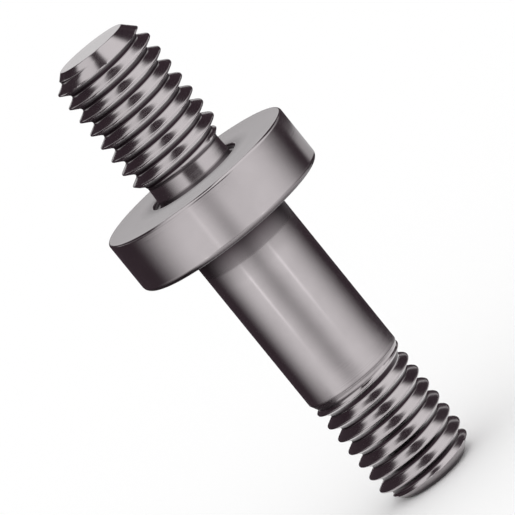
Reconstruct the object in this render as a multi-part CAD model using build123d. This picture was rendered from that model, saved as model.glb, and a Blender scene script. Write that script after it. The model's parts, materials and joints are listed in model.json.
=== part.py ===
from build123d import *
import math
import os

# Shoulder bolt, double-ended: one turned steel piece. From the bottom up it has
# a threaded end, a plain shank, a round collar, a short neck that stands in a
# relief groove in the collar's face, and a second threaded end. Both threads
# are right-handed half-inch coarse threads, 13 to the inch.
# Millimetres, +Z up along the bolt's axis, origin at the centre of the lower end.

# Turned form
SHANK_DIAMETER = 12.7
SHANK_LENGTH = 22.5
COLLAR_DIAMETER = 25.2
COLLAR_THICKNESS = 7.0
COLLAR_TOP_CHAMFER = 0.4
COLLAR_UNDER_CHAMFER = 0.55
LOWER_END_LENGTH = 15.6         # lower end face to the shank
UPPER_END_LENGTH = 19.0         # collar's face to the upper end face
NECK_DIAMETER = 10.1
NECK_LENGTH = 2.25              # collar's face to the start of the upper thread
RELIEF_WIDTH = 0.95             # groove round the neck, in the collar's face
RELIEF_DEPTH = 0.6              # at the neck: its floor slopes up to the face
END_FACE_DIAMETER = 8.8         # flat inside the chamfer at each end
END_CHAMFER_ANGLE = 45.0        # from the end face

# Thread form: straight flanks that meet in the crest, and a flat root
THREAD_DIAMETER = 12.6          # over the crests
THREAD_ROOT_DIAMETER = 10.2
THREAD_PITCH = 1.954
THREAD_FLANK_ANGLE = 30.0       # each flank, from the radial direction
RUNIN_ANGLE = 45.0              # taper from the neck up to the upper crests
RUNOUT_LENGTH = 2.4             # taper from the shank down to the lower roots
LOWER_THREAD_TURN = 109.0       # degrees, where the ridge crosses the lower end face
UPPER_THREAD_TURN = -21.0       # degrees, where it crosses the top of the neck

# Worked out from the sizes above
SHANK_RADIUS = SHANK_DIAMETER / 2
COLLAR_RADIUS = COLLAR_DIAMETER / 2
NECK_RADIUS = NECK_DIAMETER / 2
CREST_RADIUS = THREAD_DIAMETER / 2
ROOT_RADIUS = THREAD_ROOT_DIAMETER / 2
END_FACE_RADIUS = END_FACE_DIAMETER / 2
COLLAR_UNDERSIDE = LOWER_END_LENGTH + SHANK_LENGTH
COLLAR_FACE = COLLAR_UNDERSIDE + COLLAR_THICKNESS
NECK_TOP = COLLAR_FACE + NECK_LENGTH
TOTAL_LENGTH = COLLAR_FACE + UPPER_END_LENGTH

# Working allowances
OVERSIZE = THREAD_PITCH         # bar left over where the turned form then cuts it back
CREST_CLEARANCE = 0.25          # room that the turned form leaves over the crests
RIDGE_SINK = 0.25               # how far the threads' ridge is rooted in the bar


def revolved(outline):
    """Solid of revolution about Z of an outline drawn as (radius, height)."""
    return revolve(Plane.XZ * outline, axis=Axis.Z)


def chamfered(outline, corner, leg):
    """The outline with its corner nearest the given point cut off at 45 degrees."""
    nearest = outline.vertices().sort_by_distance((*corner, 0))[0]
    return chamfer(nearest, leg)


def turned_form():
    """Everything the lathe gives the bolt, with room left for the thread crests."""
    upper_clear = CREST_RADIUS + CREST_CLEARANCE
    runin_height = (upper_clear - NECK_RADIUS) / math.tan(math.radians(RUNIN_ANGLE))
    chamfer_slope = math.tan(math.radians(END_CHAMFER_ANGLE))
    lower_chamfer = (SHANK_RADIUS - END_FACE_RADIUS) * chamfer_slope
    upper_chamfer = (upper_clear - END_FACE_RADIUS) * chamfer_slope
    outline = Polygon(
        (0, 0),
        (END_FACE_RADIUS, 0),
        (SHANK_RADIUS, lower_chamfer),
        (SHANK_RADIUS, COLLAR_UNDERSIDE),
        (COLLAR_RADIUS, COLLAR_UNDERSIDE),
        (COLLAR_RADIUS, COLLAR_FACE),
        (NECK_RADIUS + RELIEF_WIDTH, COLLAR_FACE),
        (NECK_RADIUS, COLLAR_FACE - RELIEF_DEPTH),
        (NECK_RADIUS, NECK_TOP),
        (upper_clear, NECK_TOP + runin_height),
        (upper_clear, TOTAL_LENGTH - upper_chamfer),
        (END_FACE_RADIUS, TOTAL_LENGTH),
        (0, TOTAL_LENGTH),
        align=None,
    )
    outline = chamfered(outline, (COLLAR_RADIUS, COLLAR_UNDERSIDE), COLLAR_UNDER_CHAMFER)
    outline = chamfered(outline, (COLLAR_RADIUS, COLLAR_FACE), COLLAR_TOP_CHAMFER)
    return revolved(outline)


def stock():
    """Oversize bar, at root size where the threads are, with the runout taper."""
    middle_radius = COLLAR_RADIUS + OVERSIZE
    taper_slope = RUNOUT_LENGTH / (SHANK_RADIUS - ROOT_RADIUS)
    taper_start = LOWER_END_LENGTH - RUNOUT_LENGTH
    taper_end = taper_start + (middle_radius - ROOT_RADIUS) * taper_slope
    outline = Polygon(
        (0, -OVERSIZE),
        (ROOT_RADIUS, -OVERSIZE),
        (ROOT_RADIUS, taper_start),
        (middle_radius, taper_end),
        (middle_radius, COLLAR_FACE + CREST_CLEARANCE),
        (ROOT_RADIUS, COLLAR_FACE + CREST_CLEARANCE),
        (ROOT_RADIUS, TOTAL_LENGTH + OVERSIZE),
        (0, TOTAL_LENGTH + OVERSIZE),
        align=None,
    )
    return revolved(outline)


def thread_section():
    """Cross-section of the ridge in the XZ plane, rooted inside the bar."""
    base_radius = ROOT_RADIUS - RIDGE_SINK
    half_width = (CREST_RADIUS - base_radius) * math.tan(math.radians(THREAD_FLANK_ANGLE))
    return Plane.XZ * Polygon(
        (base_radius, -half_width),
        (CREST_RADIUS, 0),
        (base_radius, half_width),
        align=None,
    )


def thread_turns(start_height, start_turn, end_height):
    """Right-handed ridge between two heights, as a list of its single turns."""
    path = Helix(pitch=THREAD_PITCH, height=THREAD_PITCH, radius=ROOT_RADIUS)
    turn = Rot(0, 0, start_turn) * sweep(thread_section(), path=path, is_frenet=True)
    count = math.ceil((end_height - start_height) / THREAD_PITCH)
    return [Pos(0, 0, start_height + i * THREAD_PITCH) * turn for i in range(count)]


def lower_thread():
    """From below the end face until the taper and the shank swallow it."""
    return thread_turns(-THREAD_PITCH, LOWER_THREAD_TURN, LOWER_END_LENGTH + THREAD_PITCH)


def upper_thread():
    """From beside the neck, which cuts it away below the run-in taper, to above the end face."""
    return thread_turns(NECK_TOP - THREAD_PITCH, UPPER_THREAD_TURN, TOTAL_LENGTH + THREAD_PITCH)


def shoulder_bolt():
    threaded_bar = stock() + lower_thread() + upper_thread()
    return threaded_bar & turned_form()


os.makedirs("parts", exist_ok=True)
export_step(shoulder_bolt(), "parts/shoulder_bolt.step")
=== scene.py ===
import json
import math

import bpy
import numpy as np
from mathutils import Matrix, Vector


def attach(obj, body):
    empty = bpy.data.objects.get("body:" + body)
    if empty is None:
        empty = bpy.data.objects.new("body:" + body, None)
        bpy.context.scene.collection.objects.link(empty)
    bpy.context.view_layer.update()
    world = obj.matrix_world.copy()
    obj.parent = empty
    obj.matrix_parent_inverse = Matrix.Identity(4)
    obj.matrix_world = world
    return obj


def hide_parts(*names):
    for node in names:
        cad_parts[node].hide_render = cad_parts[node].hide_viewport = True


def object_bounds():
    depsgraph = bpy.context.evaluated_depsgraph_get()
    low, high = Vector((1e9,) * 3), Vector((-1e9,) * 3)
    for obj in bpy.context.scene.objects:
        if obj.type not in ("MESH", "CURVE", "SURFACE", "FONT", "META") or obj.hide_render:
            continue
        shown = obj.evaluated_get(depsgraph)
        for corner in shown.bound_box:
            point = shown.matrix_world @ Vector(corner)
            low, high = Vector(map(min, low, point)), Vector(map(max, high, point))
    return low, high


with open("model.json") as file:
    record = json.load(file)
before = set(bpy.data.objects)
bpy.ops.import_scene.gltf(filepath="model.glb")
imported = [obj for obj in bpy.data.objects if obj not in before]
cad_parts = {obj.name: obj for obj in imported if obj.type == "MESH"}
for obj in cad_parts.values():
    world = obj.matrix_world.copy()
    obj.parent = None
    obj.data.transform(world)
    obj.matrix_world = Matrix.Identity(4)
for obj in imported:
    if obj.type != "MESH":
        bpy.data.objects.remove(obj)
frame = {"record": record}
CAD_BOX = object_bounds()
NODE = "shoulder_bolt"
MOUNTS = {m["name"]: m for m in frame["record"]["mounts"]}
MM = 0.001

# One turned steel bolt that stands upright on a white floor. A finer mesh of the same
# form replaces its solid, and the camera is rolled so that the bolt leans in the picture.

# Sizes of the bolt in mm, from the frame where it gives them
TOTAL_LENGTH = CAD_BOX[1][2] / MM
COLLAR_RADIUS = CAD_BOX[1][0] / MM
COLLAR_UNDERSIDE = MOUNTS["collar_underside"]["pos_m"][2] / MM
COLLAR_FACE = MOUNTS["collar_face"]["pos_m"][2] / MM
SHANK_RADIUS = MOUNTS["shank"]["dims"]["r_mm"]
SHANK_START = COLLAR_UNDERSIDE - MOUNTS["shank"]["dims"]["length_mm"]
COLLAR_TOP_ROUND = 0.3
COLLAR_UNDER_ROUND = 0.75
NECK_RADIUS = 5.05              # halfway up
NECK_TAPER = 0.05               # wider by this at its foot, narrower at its top
NECK_TOP = COLLAR_FACE + 2.25
RELIEF_RADIUS = NECK_RADIUS + 0.95
RELIEF_FLOOR = COLLAR_FACE - 0.6
RELIEF_EDGE_ROUND = 0.12
END_FACE_RADIUS = 4.4           # both ends have 45-degree chamfers
LOWER_END_ROUND = 0.7           # between end face and chamfer
UPPER_END_ROUND = 0.3
ROUND_INSET = math.tan(math.radians(22.5))      # of such a round, by its radius

# Thread: flat crest and root, each slightly rounded into 60-degree flanks
PITCH = 1.954
CREST_RADIUS = 6.275
CREST_WIDTH = 0.2
ROOT_RADIUS = 5.1
CREST_ROUNDING = 0.1
ROOT_ROUNDING = 0.3
CUT_ROUNDING = 0.08             # where chamfers and tapers cut the ridge
RUNOUT_LENGTH = 2.4
LOWER_CREST_HEIGHT = 1.364      # of a crest line where it faces +X
UPPER_CREST_HEIGHT = 47.466
FLANK_SLOPE = math.tan(math.radians(60.0))      # radius lost for each mm along the axis
ROOT_START = CREST_WIDTH / 2 + (CREST_RADIUS - ROOT_RADIUS) / FLANK_SLOPE + 0.03

# Painted shade, 0 for none to 1, which darkens the colour where shade falls and where a dark
# reflection would show: by mm from the place named, or by share of a height
ROUND_PAINTED_SHADE = 0.8             # painted shade in the groove, and on the round below the lower chamfer where the bolt meets the floor
SHANK_FOOT_PAINTED_SHADE = 0.7
UNDER_ROUND_PAINTED_SHADE = 0.95
FACE_SHADE = 2.0                # mm of the collar's face that darken towards the groove: a painted reflection of the neck and painted shade
FACE_PAINTED_SHADE = (0.5, 0.16)      # at the groove, and halfway
SHANK_SHADE = 5.3               # mm of shank under the collar that darken towards it: a painted shadow of the collar
SHANK_PAINTED_SHADOW = ((0.9, 3.15, 3.4, SHANK_SHADE), (0.97, 0.57, 0.24, 0.0))
NECK_PAINTED_SHADE = ((0.07, 0.8), (0.2, 0.0), (0.87, 0.0), (0.93, 0.85), (1.0, 0.85))

# Mesh density
COLUMNS = 192                   # round the axis
ROWS = 24                       # to one pitch
ROW_CROWDING = 0.6              # of the rows towards crests and roots
ARC_STEPS = 6
SHANK_STEPS = 8
SHANK_SHADE_STEPS = 22
COLLAR_STEPS = 5
END_RINGS = (0.3, 2.0)          # radii of rings in the flat of each end
SUPPORT = 0.06                  # mm from an edge to the ring that keeps its neighbour flat
SHARP_ANGLE = math.radians(40.0)

# Finish
STEEL_DULL = (0.46, 0.428, 0.437, 1.0)
STEEL_BRIGHT = (0.54, 0.502, 0.513, 1.0)
STEEL_ROUGHNESS = 0.12
MOTTLE_SCALE = 350.0            # per m
MOTTLE_ROUGHNESS = 0.08         # added where the mottle is bright
MARK_SCALE = 5000.0             # per m, of the turning marks
MARK_DEPTH = 4e-6               # m
# painted shade: the dark colour mixed in where shade is painted
PAINTED_SHADE_COLOUR = (0.034, 0.022, 0.028, 1.0)
PAINTED_SHADE_ROUGHNESS = 0.2         # added where shade is painted

# Light
FLOOR_SIZE = 20.0               # m, as all lengths from here on
WHITE = (1.0, 1.0, 1.0, 1.0)
SHADE_COLOUR = (0.015, 0.0, 0.008, 1.0)         # where no light is left
CARD_COLOUR = (0.048, 0.034, 0.041, 1.0)
SCREEN_RADIUS = 0.07
SCREEN_HEIGHT = 0.062
SLIT_GAIN = 0.7                 # of the screen's bright slits
RIGHT_GAIN = 0.1                # of the world's right half, in reflections
OVERHEAD_MIDDLE = -0.0025
OVERHEAD_SPREAD = 0.018
OVERHEAD_REACH = (0.0115, 0.03)                 # behind the bolt's axis
OVERHEAD_HEIGHT = 0.075
FLOOR_CARD_X = (-0.069, -0.015)
FLOOR_CARD_Y = (-0.06, 0.06)
FLOOR_CARD_HEIGHT = 0.0002
FLOOR_CARD_SLOPE = 0.55         # of its edge, from the bolt to the front left
FLOOR_CARD_FADE = 0.008

# View: a long lens a little above the bolt's middle
SENSOR = 36.0                   # mm
VIEW_DISTANCE = 0.576           # m, from the point looked at
VIEW_WIDTH = 0.05933            # m, seen at that distance
VIEW_ELEVATION = math.radians(10.6)
VIEW_ROLL = math.radians(39.0)  # the bolt's top end leans to the left
AIM_HEIGHT = 0.03302            # m, the point looked at on the bolt's axis
AIM_RIGHT = 0.000154            # m, from the picture's centre to that point
AIM_UP = 0.000101


def soft_min(a, b, width):
    """The smaller of a and b, rounded where they cross."""
    share = np.clip(0.5 + 0.5 * (b - a) / width, 0.0, 1.0)
    return b + (a - b) * share - width * share * (1.0 - share)


def soft_max(a, b, width):
    return -soft_min(-a, -b, width)


def ridge_radius(offset):
    """Radius of the thread at an axial distance from the nearest crest line."""
    flank = CREST_RADIUS - (np.abs(offset) - CREST_WIDTH / 2) * FLANK_SLOPE
    return soft_min(flank, np.full_like(flank, CREST_RADIUS), CREST_ROUNDING)


def lower_cut(height, ridge):
    """Radius of the lower thread: its ridge on the bar's runout taper, cut by the end
    chamfer. Then the share of painted shade that its grooves keep, and the painted shade of
    its surface outside them: at the shank's edge, along the taper's root and at the end face's rim."""
    taper = np.maximum((height - SHANK_START + RUNOUT_LENGTH) / RUNOUT_LENGTH, 0.0)
    bar = ROOT_RADIUS + taper * (SHANK_RADIUS - ROOT_RADIUS)
    threaded = soft_max(ridge, bar, ROOT_ROUNDING * np.clip(1.0 - taper, 0.1, 1.0))
    chamfer = END_FACE_RADIUS + height
    radius = np.minimum(soft_min(threaded, chamfer, CUT_ROUNDING), SHANK_RADIUS)
    # share of the grooves' painted shade: none where the chamfer cuts the ridge away, fading out up
    # the runout taper
    painted_share = cover(chamfer - threaded) * np.clip((1.0 - taper) / 0.25, 0.0, 1.0)
    # painted shade outside the grooves: at the shank's edge, along the taper's root and at the end
    # face's rim, where the bolt meets the floor
    depth = SHANK_START - height
    edge = np.interp(depth, (0.0, 0.3), (SHANK_FOOT_PAINTED_SHADE, 0.0))
    root = np.interp(depth, (0.5, 0.65, 1.25, 1.5), (0.0, 0.85, 0.85, 0.0))
    rim = np.clip((0.9 - height) / 0.6, 0.0, ROUND_PAINTED_SHADE)
    return radius, painted_share, np.maximum(np.maximum(edge, root * (ridge < bar)), rim)


def upper_cut(height, ridge):
    """The same for the upper thread, cut by the taper above the neck and the end chamfer.
    Its painted shade outside the grooves is in the corner between neck and taper, where shade falls."""
    threaded = soft_max(ridge, np.full_like(ridge, ROOT_RADIUS), ROOT_ROUNDING)
    runin = NECK_RADIUS - NECK_TAPER + height - NECK_TOP
    chamfer = END_FACE_RADIUS + TOTAL_LENGTH - height
    radius = soft_min(soft_min(threaded, chamfer, CUT_ROUNDING), runin, CUT_ROUNDING)
    corner = np.clip((0.35 - (height - NECK_TOP)) / 0.2, 0.0, 0.85)
    return radius, cover(np.minimum(chamfer, runin) - threaded), corner


def cover(room):
    """1 where the thread lies under the cut, 0 where the cut has taken it away."""
    return np.clip(room / CUT_ROUNDING, 0.0, 1.0)


def groove_painted_shade(offset):
    """Painted shade by the signed axial distance from the nearest crest line: on the root
    and on the flank under each ridge, where shade falls, and none on the flank on top."""
    under = np.clip((-offset - 0.26) / 0.14, 0.0, 1.0)
    root = np.clip((offset - ROOT_START) / 0.1, 0.0, 1.0)
    return np.maximum(under, root)


class Surface:
    """Mesh of revolution built from the bottom up, one ring or one thread at a time."""

    def __init__(self):
        self.points = []
        # painted shade of each point, 0 to 1
        self.painted_shade = []
        self.faces = []
        self.last = None
        self.turns = np.arange(COLUMNS) * 2 * math.pi / COLUMNS

    def add(self, radii, turns, heights, painted_shade):
        first = len(self.points)
        for radius, turn, height in zip(radii, turns, heights):
            self.points.append((radius * math.cos(turn), radius * math.sin(turn), height))
        self.painted_shade += list(painted_shade)
        return list(range(first, len(self.points)))

    def face(self, corners):
        kept = [c for i, c in enumerate(corners) if c != corners[i - 1]]
        if len(set(kept)) >= 3:
            self.faces.append(kept)

    def ring(self, radius, height, painted_shade):
        """Joins a ring to the one before it."""
        ring = self.add([radius] * COLUMNS, self.turns, [height] * COLUMNS, [painted_shade] * COLUMNS)
        if self.last is None:
            self.cap(ring, height, upward=False)
        else:
            for i in range(COLUMNS):
                j = (i + 1) % COLUMNS
                self.face([self.last[i], self.last[j], ring[j], ring[i]])
        self.last = ring

    def cap(self, ring, height, upward):
        centre = self.add([0.0], [0.0], [height], [0.0])[0]
        for i in range(COLUMNS):
            j = (i + 1) % COLUMNS
            self.face([ring[i], ring[j], centre] if upward else [ring[j], ring[i], centre])

    def outline(self, points, painted_shade=0.0):
        for radius, height in points:
            self.ring(radius, height, painted_shade)

    def thread(self, top, crest_height, cut):
        """Rows that follow the helix, from the last ring to a ring at the top height."""
        bottom = self.points[self.last[0]][2]
        first = math.floor((bottom - crest_height) / PITCH) - 1
        count = (math.ceil((top - crest_height) / PITCH) + 1 - first) * ROWS
        share = first + np.arange(count + 1) / ROWS
        share = share - ROW_CROWDING * np.sin(4 * math.pi * share) / (4 * math.pi)
        heights = crest_height + PITCH * (share[None, :] + self.turns[:, None] / (2 * math.pi))
        offset = np.broadcast_to(((share + 0.5) % 1.0 - 0.5) * PITCH, heights.shape)
        radii, painted_share, own_painted_shade = cut(heights, ridge_radius(offset))
        # painted shade of the grooves, where the cut keeps them, and of the surface outside them
        painted_share = np.maximum(painted_share * groove_painted_shade(offset), own_painted_shade)
        margin = PITCH / ROWS * 0.2
        end = self.add(*end_circle(cut, top, self.turns))
        index = []
        for i in range(COLUMNS):
            column = []
            for radius, height, painted_shade in zip(radii[i], heights[i], painted_share[i]):
                if height < bottom + margin:
                    column.append(self.last[i])
                elif height > top - margin:
                    column.append(end[i])
                else:
                    column += self.add([radius], [self.turns[i]], [height], [painted_shade])
            index.append(column)
        seam = index[0][ROWS:] + [end[0]] * ROWS
        for left, right in zip(index, index[1:] + [seam]):
            for k in range(count):
                self.face([left[k], right[k], right[k + 1], left[k + 1]])
        self.last = end

    def mesh(self, name):
        mesh = bpy.data.meshes.new(name)
        mesh.from_pydata([Vector(p) * MM for p in self.points], [], self.faces)
        # painted shade of each point, which the material mixes in as a dark colour
        painted_shade = mesh.attributes.new("painted_shade", "FLOAT", "POINT")
        painted_shade.data.foreach_set("value", self.painted_shade)
        mesh.validate()
        mesh.polygons.foreach_set("use_smooth", [True] * len(mesh.polygons))
        mesh.set_sharp_from_angle(angle=SHARP_ANGLE)
        return mesh


def end_circle(cut, height, turns):
    """The clean circle in which a thread ends, at the cut's own radius there."""
    radii = cut(np.full(COLUMNS, height), np.full(COLUMNS, CREST_RADIUS))[0]
    return radii, turns, [height] * COLUMNS, [0.0] * COLUMNS


def arc(centre, radius, start, end):
    """Points of an arc in the (radius, height) plane, angles in degrees."""
    angles = np.radians(np.linspace(start, end, ARC_STEPS + 1))
    return [(centre[0] + radius * math.cos(a), centre[1] + radius * math.sin(a)) for a in angles]


def add_lower_end(bolt):
    inset = END_FACE_RADIUS - LOWER_END_ROUND * ROUND_INSET
    bolt.outline([(radius, 0.0) for radius in (*END_RINGS, inset - SUPPORT)])
    turn = arc((inset, LOWER_END_ROUND), LOWER_END_ROUND, -90, -45)
    # painted shade on the round where the bolt meets the floor
    bolt.outline(turn, painted_shade=ROUND_PAINTED_SHADE)
    bolt.thread(SHANK_START, LOWER_CREST_HEIGHT, lower_cut)


def add_shank(bolt):
    # painted shade at the shank's lower edge, where the thread's runout meets it
    bolt.outline([(SHANK_RADIUS, SHANK_START + SUPPORT)], painted_shade=SHANK_FOOT_PAINTED_SHADE)
    bare_end = COLLAR_UNDERSIDE - SHANK_SHADE - 0.5
    heights = np.linspace(SHANK_START + 0.25, bare_end, SHANK_STEPS)
    bolt.outline([(SHANK_RADIUS, height) for height in heights])
    # painted shadow of the collar on the shank, darkest just under the collar
    for depth in np.linspace(SHANK_SHADE, 0.0, SHANK_SHADE_STEPS + 1):
        painted_share = float(np.interp(depth, *SHANK_PAINTED_SHADOW))
        bolt.outline([(SHANK_RADIUS, COLLAR_UNDERSIDE - depth)], painted_shade=painted_share)


def add_collar(bolt):
    edge = COLLAR_RADIUS - COLLAR_UNDER_ROUND
    low = COLLAR_UNDERSIDE + COLLAR_UNDER_ROUND
    bolt.outline([(radius, COLLAR_UNDERSIDE) for radius in (SHANK_RADIUS + SUPPORT, edge - SUPPORT)])
    # painted shade on the collar's lower round, darkest at the underside and gone at the side
    for step, point in enumerate(arc((edge, low), COLLAR_UNDER_ROUND, -90, 0)):
        bolt.outline([point], painted_shade=UNDER_ROUND_PAINTED_SHADE * (1.0 - (step / ARC_STEPS) ** 3))
    edge = COLLAR_RADIUS - COLLAR_TOP_ROUND
    high = COLLAR_FACE - COLLAR_TOP_ROUND
    heights = np.linspace(low + SUPPORT, high - SUPPORT, COLLAR_STEPS)
    bolt.outline([(COLLAR_RADIUS, height) for height in heights])
    bolt.outline(arc((edge, high), COLLAR_TOP_ROUND, 0, 90))
    inner = RELIEF_RADIUS + RELIEF_EDGE_ROUND
    bolt.outline([(radius, COLLAR_FACE) for radius in (edge - SUPPORT, inner + FACE_SHADE)])
    # painted reflection of the neck and painted shade on the collar's face, darkening towards the
    # groove
    at_groove, halfway = FACE_PAINTED_SHADE
    bolt.outline([(inner + FACE_SHADE / 2, COLLAR_FACE)], painted_shade=halfway)
    bolt.outline([(inner + SUPPORT, COLLAR_FACE)], painted_shade=at_groove)
    bolt.outline(arc((inner, COLLAR_FACE - RELIEF_EDGE_ROUND), RELIEF_EDGE_ROUND, 90, 180))


def add_neck(bolt):
    """The groove's round floor, then the neck up to the run-in taper."""
    half = (RELIEF_RADIUS - NECK_RADIUS) / 2
    turn = arc((NECK_RADIUS + half, RELIEF_FLOOR + half), half, 0, -155)
    # painted shade in the groove's floor
    bolt.outline(turn, painted_shade=ROUND_PAINTED_SHADE)
    # painted shade at the neck's foot and in its corner with the run-in taper
    for share, painted_share in NECK_PAINTED_SHADE:
        height = COLLAR_FACE + share * (NECK_TOP - COLLAR_FACE)
        bolt.outline([(NECK_RADIUS + NECK_TAPER * (1.0 - 2.0 * share), height)], painted_shade=painted_share)


def add_upper_end(bolt):
    inset = END_FACE_RADIUS - UPPER_END_ROUND * ROUND_INSET
    chamfer_top = TOTAL_LENGTH - UPPER_END_ROUND * (1 - math.sqrt(0.5))
    bolt.thread(chamfer_top, UPPER_CREST_HEIGHT, upper_cut)
    bolt.outline(arc((inset, TOTAL_LENGTH - UPPER_END_ROUND), UPPER_END_ROUND, 45, 90)[1:])
    bolt.outline([(radius, TOTAL_LENGTH) for radius in (inset - SUPPORT, *reversed(END_RINGS))])
    bolt.cap(bolt.last, TOTAL_LENGTH, upward=True)


def bolt_mesh():
    bolt = Surface()
    add_lower_end(bolt)
    add_shank(bolt)
    add_collar(bolt)
    add_neck(bolt)
    add_upper_end(bolt)
    return bolt.mesh("turned_bolt")


class Graph:
    """Shorthand for the maths of a node tree."""

    def __init__(self, tree):
        self.nodes, self.links = tree.nodes, tree.links

    def do(self, operation, *values):
        """A Math node's output, from sockets or numbers."""
        node = self.nodes.new("ShaderNodeMath")
        node.operation = operation
        for socket, value in zip(node.inputs, values):
            if isinstance(value, (int, float)):
                socket.default_value = value
            else:
                self.links.new(value, socket)
        return node.outputs[0]

    def fold(self, operation, values):
        result = values[0]
        for value in values[1:]:
            result = self.do(operation, result, value)
        return result

    def all(self, *values):
        """The product of values between 0 and 1."""
        return self.fold("MULTIPLY", values)

    def any(self, *values):
        """The largest of the values."""
        return self.fold("MAXIMUM", values)

    def sum(self, *values):
        return self.fold("ADD", values)

    def less(self, *parts):
        """What is left of 1 when each part has taken its share."""
        return self.all(*[self.do("SUBTRACT", 1.0, part) for part in parts])

    def rise(self, value, low, high):
        """0 below low, 1 above high, eased between."""
        step = self.nodes.new("ShaderNodeMapRange")
        step.interpolation_type = "SMOOTHSTEP"
        self.links.new(value, step.inputs["Value"])
        step.inputs["From Min"].default_value = low
        step.inputs["From Max"].default_value = high
        return step.outputs["Result"]

    def band(self, value, centre, inner, outer):
        """1 within inner of the centre, 0 beyond outer."""
        away = self.do("ABSOLUTE", self.do("SUBTRACT", value, centre))
        return self.do("SUBTRACT", 1.0, self.rise(away, inner, outer))

    def axes(self, vector):
        split = self.nodes.new("ShaderNodeSeparateXYZ")
        self.links.new(vector, split.inputs[0])
        return split.outputs

    def place(self):
        """The object's own coordinates, in m."""
        return self.nodes.new("ShaderNodeTexCoord").outputs["Object"]

    def noise(self, vector, scale, detail):
        texture = self.nodes.new("ShaderNodeTexNoise")
        texture.inputs["Scale"].default_value = scale
        texture.inputs["Detail"].default_value = detail
        self.links.new(vector, texture.inputs["Vector"])
        return texture.outputs["Fac"]

    def blend(self, share, a, b):
        """A mix of two colours, each a socket or a value."""
        mix = self.nodes.new("ShaderNodeMix")
        mix.data_type = "RGBA"
        self.links.new(share, mix.inputs["Factor"])
        for socket, colour in ((mix.inputs["A"], a), (mix.inputs["B"], b)):
            if isinstance(colour, tuple):
                socket.default_value = colour
            else:
                self.links.new(colour, socket)
        return mix.outputs["Result"]


def turned_steel():
    """Satin steel with fine turning marks that run round the axis, and painted shade by
    the mesh's own attribute, mixed in as a dark colour."""
    material = bpy.data.materials.new("turned_steel")
    material.use_nodes = True
    g = Graph(material.node_tree)
    shader = g.nodes["Principled BSDF"]
    shader.inputs["Metallic"].default_value = 1.0
    place = g.place()
    mottle = g.noise(place, MOTTLE_SCALE, 3)
    # painted shade from the mesh, mixed in as a dark colour
    painted_shade = g.nodes.new("ShaderNodeAttribute")
    painted_shade.attribute_name = "painted_shade"
    painted_share = painted_shade.outputs["Fac"]
    steel = g.blend(mottle, STEEL_DULL, STEEL_BRIGHT)
    g.links.new(g.blend(painted_share, steel, PAINTED_SHADE_COLOUR), shader.inputs["Base Color"])
    rough = g.do("MULTIPLY_ADD", mottle, MOTTLE_ROUGHNESS, STEEL_ROUGHNESS)
    rough = g.do("MULTIPLY_ADD", painted_share, PAINTED_SHADE_ROUGHNESS, rough)
    g.links.new(rough, shader.inputs["Roughness"])
    bump = g.nodes.new("ShaderNodeBump")
    bump.inputs["Strength"].default_value = 1.0
    bump.inputs["Distance"].default_value = MARK_DEPTH
    g.links.new(turning_marks(g, place), bump.inputs["Height"])
    g.links.new(bump.outputs["Normal"], shader.inputs["Normal"])
    return material


def turning_marks(g, place):
    """Noise that changes only along the axis and the radius, as a lathe tool leaves it."""
    x, y, z = g.axes(place)
    radius = g.do("SQRT", g.sum(g.do("MULTIPLY", x, x), g.do("MULTIPLY", y, y)))
    ring = g.nodes.new("ShaderNodeCombineXYZ")
    g.links.new(radius, ring.inputs[0])
    g.links.new(z, ring.inputs[1])
    return g.noise(ring.outputs[0], MARK_SCALE, 2)


def add_object(name, data):
    added = bpy.data.objects.new(name, data)
    bpy.context.collection.objects.link(added)
    return added


def add_floor():
    bpy.ops.mesh.primitive_plane_add(size=FLOOR_SIZE)
    plane = bpy.context.object
    plane.name = "floor"
    material = bpy.data.materials.new("white_paper")
    material.use_nodes = True
    shader = material.node_tree.nodes["Principled BSDF"]
    shader.inputs["Base Color"].default_value = WHITE
    shader.inputs["Specular IOR Level"].default_value = 0.0
    shader.inputs["Roughness"].default_value = 1.0
    plane.data.materials.append(material)


def glowing(name):
    """A material that only glows, its graph and its Emission node."""
    material = bpy.data.materials.new(name)
    material.use_nodes = True
    g = Graph(material.node_tree)
    g.nodes.clear()
    output = g.nodes.new("ShaderNodeOutputMaterial")
    glow = g.nodes.new("ShaderNodeEmission")
    glow.inputs["Strength"].default_value = 1.0
    g.links.new(glow.outputs[0], output.inputs["Surface"])
    return material, g, glow


def only_reflected(obj):
    """Hides an object from the camera, diffuse light and shadows, so that only reflections see it.
    """
    obj.visible_camera = False
    obj.visible_diffuse = False
    obj.visible_shadow = False


def add_screen():
    """A low round screen that only reflections see: light in front, dark behind."""
    bpy.ops.mesh.primitive_cylinder_add(
        vertices=192,
        radius=SCREEN_RADIUS,
        depth=SCREEN_HEIGHT,
        end_fill_type="NOTHING",
        location=(0.0, 0.0, SCREEN_HEIGHT / 2),
    )
    wall = bpy.context.object
    bpy.ops.object.transform_apply(location=True)
    wall.name = "light_screen"
    material, g, glow = glowing("light_screen")
    scaled = g.nodes.new("ShaderNodeVectorMath")
    scaled.operation = "SCALE"
    scaled.inputs["Scale"].default_value = 1.0 / SCREEN_RADIUS
    g.links.new(g.place(), scaled.inputs[0])
    level, strength = screen_light(g, scaled.outputs[0])
    g.links.new(g.blend(level, SHADE_COLOUR, WHITE), glow.inputs["Color"])
    g.links.new(strength, glow.inputs["Strength"])
    wall.data.materials.append(material)
    only_reflected(wall)


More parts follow.
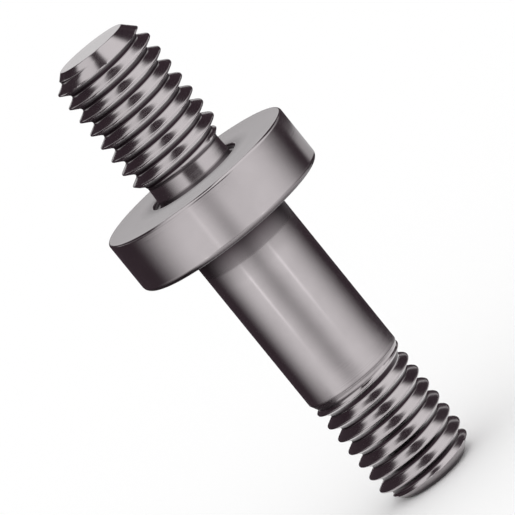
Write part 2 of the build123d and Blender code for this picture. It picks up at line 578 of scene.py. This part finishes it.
def screen_light(g, place):
    """Level and strength of the screen's light by the place on it, in radii of the screen.
    By height, the shank, the collar, the neck and the upper crests mirror a zone each."""
    x, y, z = g.axes(place)
    collar = g.rise(z, 0.34, 0.37)
    neck = g.rise(z, 0.496, 0.511)
    crests = g.rise(z, 0.535, 0.557)
    front = g.less(g.rise(y, -0.4, 0.1))
    right = g.rise(x, -0.2, 0.2)
    grey = g.all(grey_stripe(g, x, z, collar), front, 0.48)
    ribbon = g.all(front, g.band(x, 0.075, 0.27, 0.5), g.rise(z, 0.525, 0.55), 0.96)
    lit = g.less(grey, ribbon, dark_sides(g, y, right, collar, neck, crests))
    rim = g.all(g.rise(y, 0.42, 0.62), right, collar, g.less(g.rise(z, 0.44, 0.46)), 0.5)
    back = g.all(g.rise(y, 0.6, 0.9), g.band(x, 0.0, 0.25, 0.4), g.rise(z, 0.7, 0.74), 0.56)
    slits = g.all(bright_slits(g, x, z, collar, neck), front)
    return g.any(lit, rim, back), g.do("MULTIPLY_ADD", slits, SLIT_GAIN, 1.0)


def grey_stripe(g, x, z, collar):
    """A soft stripe up the middle of the front, wide for the shank and narrow above it."""
    wide = g.all(g.band(x, -0.12, 0.0, 0.6), g.less(collar))
    fading = g.less(g.all(g.rise(z, 0.42, 0.5), 0.4))
    return g.any(wide, g.all(g.band(x, -0.07, 0.0, 0.27), collar, fading))


def dark_sides(g, y, right, collar, neck, crests):
    """The fall from the lit front to the dark back, set for each zone on its own."""
    left = g.less(right)
    slope = g.sum(1.0, g.all(left, g.less(collar), 0.2), g.all(collar, 0.5))
    shift = g.sum(g.all(collar, 0.08), g.all(collar, left, 0.14), g.all(left, neck, 0.5))
    shift = g.do("SUBTRACT", shift, g.all(right, crests, 0.6))
    return g.all(g.rise(g.sum(g.do("MULTIPLY", y, slope), shift), -0.9, 0.6), 0.965)


def bright_slits(g, x, z, collar, neck):
    """Two thin lines of light for the shank and a fainter one for the collar."""
    shank = g.any(g.band(x, -0.652, 0.012, 0.03), g.band(x, 0.5, 0.012, 0.03))
    shank = g.all(shank, g.rise(z, 0.1, 0.26), g.less(collar))
    return g.any(shank, g.all(g.band(x, -0.39, 0.01, 0.025), collar, g.less(neck), 0.5))


def dark_card(name, x_reach, y_reach, height, cover_by_place):
    """A level card that only reflections see, dark where the cover is 1 and clear where 0."""
    left, right = x_reach
    near, far = y_reach
    rim = [(left, near, height), (right, near, height), (right, far, height), (left, far, height)]
    mesh = bpy.data.meshes.new(name)
    mesh.from_pydata(rim, [], [(0, 1, 2, 3)])
    material, g, glow = glowing(name)
    glow.inputs["Color"].default_value = CARD_COLOUR
    clear = g.nodes.new("ShaderNodeBsdfTransparent")
    mix = g.nodes.new("ShaderNodeMixShader")
    x, y = g.axes(g.place())[:2]
    g.links.new(cover_by_place(g, x, y), mix.inputs[0])
    g.links.new(clear.outputs[0], mix.inputs[1])
    g.links.new(glow.outputs[0], mix.inputs[2])
    g.links.new(mix.outputs[0], g.nodes["Material Output"].inputs["Surface"])
    mesh.materials.append(material)
    only_reflected(add_object(name, mesh))


def add_overhead_card():
    """A stripe above and behind the bolt, which the lower thread's flanks mirror."""

    def stripe(g, x, y):
        return g.band(x, OVERHEAD_MIDDLE, OVERHEAD_SPREAD * 0.45, OVERHEAD_SPREAD)

    ends = (OVERHEAD_MIDDLE - OVERHEAD_SPREAD, OVERHEAD_MIDDLE + OVERHEAD_SPREAD)
    dark_card("overhead_flag", ends, OVERHEAD_REACH, OVERHEAD_HEIGHT, stripe)


def add_floor_card():
    """The floor to the left of the bolt, which the thread crests mirror, but not its front."""

    def left_of_edge(g, x, y):
        past_edge = g.do("MULTIPLY_ADD", x, -FLOOR_CARD_SLOPE, y)
        return g.rise(past_edge, -FLOOR_CARD_FADE, FLOOR_CARD_FADE)

    dark_card("floor_flag", FLOOR_CARD_X, FLOOR_CARD_Y, FLOOR_CARD_HEIGHT, left_of_edge)


def world_light():
    """White all round. Reflections see dark flags overhead and behind the bolt."""
    world = bpy.data.worlds.new("world")
    world.use_nodes = True
    g = Graph(world.node_tree)
    background = g.nodes["Background"]
    x, y, z = g.axes(g.nodes.new("ShaderNodeTexCoord").outputs["Generated"])
    right = g.rise(x, -0.1, 0.1)
    overhead = g.all(g.band(x, -0.02, 0.085, 0.16), g.rise(z, 0.87, 0.9), 0.975)
    glossy = g.nodes.new("ShaderNodeLightPath").outputs["Is Glossy Ray"]
    level = g.less(g.all(g.any(flags_behind(g, x, y, z, right), overhead), glossy))
    g.links.new(g.blend(level, SHADE_COLOUR, WHITE), background.inputs["Color"])
    strength = g.do("MULTIPLY_ADD", g.all(right, glossy), RIGHT_GAIN, 1.0)
    g.links.new(strength, background.inputs["Strength"])
    bpy.context.scene.world = world


def flags_behind(g, x, y, z, right):
    """A flag on each side behind the bolt, paler straight behind it and low down aside."""
    left_flag = g.all(g.less(right, g.rise(z, 0.79, 0.86)), g.rise(y, -0.35, -0.1))
    right_flag = g.all(right, g.less(g.rise(z, 0.72, 0.83)), g.rise(y, 0.0, 0.4))
    straight = g.band(x, 0.0, 0.1, 0.17)
    aside = g.all(g.less(g.band(x, 0.0, 0.45, 0.6)), g.less(g.rise(z, 0.2, 0.45)))
    shade = g.do("SUBTRACT", 0.97, g.all(g.any(straight, aside), 0.73))
    return g.all(g.sum(left_flag, right_flag), shade)


def look_camera():
    data = bpy.data.cameras.new("camera")
    data.sensor_width = SENSOR
    data.lens = SENSOR * VIEW_DISTANCE / VIEW_WIDTH
    camera = add_object("camera", data)
    back = Vector((0.0, -math.cos(VIEW_ELEVATION), math.sin(VIEW_ELEVATION)))
    turn = (-back).to_track_quat("-Z", "Y").to_matrix() @ Matrix.Rotation(-VIEW_ROLL, 3, "Z")
    aim = Vector((0.0, 0.0, AIM_HEIGHT))
    aim -= turn.col[0] * AIM_RIGHT + turn.col[1] * AIM_UP
    camera.matrix_world = Matrix.Translation(aim + back * VIEW_DISTANCE) @ turn.to_4x4()
    bpy.context.scene.camera = camera


look_camera()
bolt = add_object("turned_bolt", bolt_mesh())
bolt.data.materials.append(turned_steel())
bolt.visible_glossy = False     # its flanks mirror the light, and not each other
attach(bolt, "root")
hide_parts(NODE)
add_floor()
add_screen()
add_overhead_card()
add_floor_card()
world_light()
bpy.context.scene.view_settings.view_transform = "Standard"
